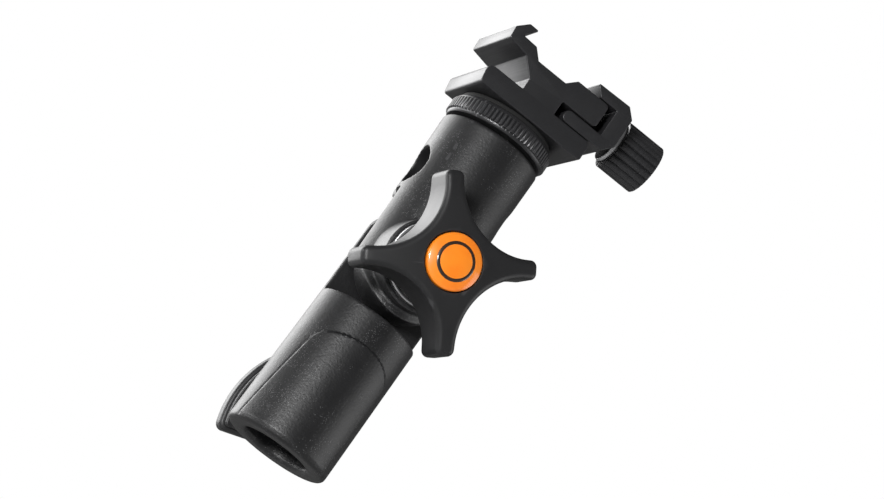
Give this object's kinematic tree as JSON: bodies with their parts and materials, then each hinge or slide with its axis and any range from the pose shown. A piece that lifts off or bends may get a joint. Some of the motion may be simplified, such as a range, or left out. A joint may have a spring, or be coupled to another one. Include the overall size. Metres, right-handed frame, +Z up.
{
  "type": "umbrella swivel bracket",
  "caption": "Tilting light-stand bracket: stud socket, star-knob swivel head with umbrella hole, and a flash shoe with a sliding clamp jaw.",
  "frame": {"origin": "centre of the socket's open end, where the light stand's stud goes in", "axes": "+Z up the socket's bore towards the flash shoe, -Y towards the star knob, +X towards the shoe's clamp knob"},
  "size_m": [0.0505, 0.0592, 0.1131],
  "materials": {
    "black_casting": "fine textured black powder coat on a die casting",
    "black_plastic": "satin moulded black plastic with soft edges",
    "black_anodised": "black anodised, with fine extrusion and turning lines",
    "bright_steel": "bright turned steel",
    "zinc_plate": "zinc plated steel",
    "brass": "turned brass",
    "black_rubber": "matt black rubber",
    "friction_fibre": "dark friction fibre",
    "orange_cap": "glossy domed orange cap with a plain dark ring"
  },
  "bodies": {
    "stand_base": {"socket_body": "black_casting", "tilt_bolt": "zinc_plate"},
    "stand_lock_slide": {"stand_lock_pad": "brass"},
    "stand_lock": {"stand_lock_screw": "zinc_plate", "stand_lock_knob": "black_plastic"},
    "head": {"head_body": "black_casting", "tilt_friction_disc": "friction_fibre", "shoe_stud": "zinc_plate"},
    "tilt_clamp": {"tilt_washer": "bright_steel"},
    "tilt_knob": {"tilt_knob": "black_plastic", "tilt_knob_bush": "bright_steel", "tilt_knob_cap": "orange_cap"},
    "umbrella_lock_slide": {"umbrella_lock_pad": "brass"},
    "umbrella_lock": {"umbrella_lock_screw": "zinc_plate", "umbrella_lock_knob": "black_plastic"},
    "ring_slide": {"shoe_rubber_washer": "black_rubber"},
    "shoe_ring": {"shoe_lock_ring": "black_anodised"},
    "shoe": {"shoe_base": "black_anodised"},
    "jaw": {"shoe_jaw": "black_anodised"},
    "clamp_screw": {"clamp_screw": "bright_steel", "clamp_knob": "black_anodised", "clamp_retaining_clip": "bright_steel"}
  },
  "joints": [
    {"name": "tilt", "type": "hinge", "parent": "stand_base", "child": "head", "pos_m": [0, 0, 0.051], "axis": [0, 1, 0], "range_deg": [-90, 90]},
    {"name": "stand_lock_travel", "type": "slide", "parent": "stand_base", "child": "stand_lock_slide", "axis": [0, -1, 0], "range_m": [0, 0.003]},
    {"name": "stand_lock_turn", "type": "hinge", "parent": "stand_lock_slide", "child": "stand_lock", "pos_m": [0, 0.02, 0.0112], "axis": [0, -1, 0], "range_deg": [0, 1080]},
    {"name": "tilt_knob_travel", "type": "slide", "parent": "head", "child": "tilt_clamp", "axis": [0, -1, 0], "range_m": [0, 0.00187]},
    {"name": "tilt_knob_turn", "type": "hinge", "parent": "tilt_clamp", "child": "tilt_knob", "pos_m": [0, -0.02, 0.051], "axis": [0, -1, 0], "range_deg": [0, 540]},
    {"name": "umbrella_lock_travel", "type": "slide", "parent": "head", "child": "umbrella_lock_slide", "axis": [0, -1, 0], "range_m": [0, 0.0024]},
    {"name": "umbrella_lock_turn", "type": "hinge", "parent": "umbrella_lock_slide", "child": "umbrella_lock", "pos_m": [-0.00055, 0.02, 0.07239], "axis": [0, -1, 0], "range_deg": [0, 1080]},
    {"name": "ring_travel", "type": "slide", "parent": "head", "child": "ring_slide", "axis": [0.0255, 0, -0.9997], "range_m": [0, 0.000564]},
    {"name": "ring_turn", "type": "hinge", "parent": "ring_slide", "child": "shoe_ring", "pos_m": [-0.00098, 0, 0.08959], "axis": [0.0255, 0, -0.9997], "range_deg": [0, 160]},
    {"name": "shoe_pan", "type": "hinge", "parent": "head", "child": "shoe", "pos_m": [-0.00115, 0, 0.09599], "axis": [-0.0255, 0, 0.9997], "range_deg": [-180, 180]},
    {"name": "jaw_travel", "type": "slide", "parent": "shoe", "child": "jaw", "axis": [0.9997, 0, 0.0255], "range_m": [-0.00125, 0.0021]},
    {"name": "clamp_turn", "type": "hinge", "parent": "jaw", "child": "clamp_screw", "pos_m": [0.0266, 0, 0.1065], "axis": [0.9997, 0, 0.0255], "range_deg": [-900, 1512]}
  ],
  "couplings": [
    {"joint": "stand_lock_turn", "follows": "stand_lock_travel", "rad_per_m": 6283.2},
    {"joint": "tilt_knob_turn", "follows": "tilt_knob_travel", "rad_per_m": 5026.5},
    {"joint": "umbrella_lock_turn", "follows": "umbrella_lock_travel", "rad_per_m": 7854},
    {"joint": "ring_turn", "follows": "ring_travel", "rad_per_m": 4947.4},
    {"joint": "clamp_turn", "follows": "jaw_travel", "rad_per_m": 12566}
  ]
}
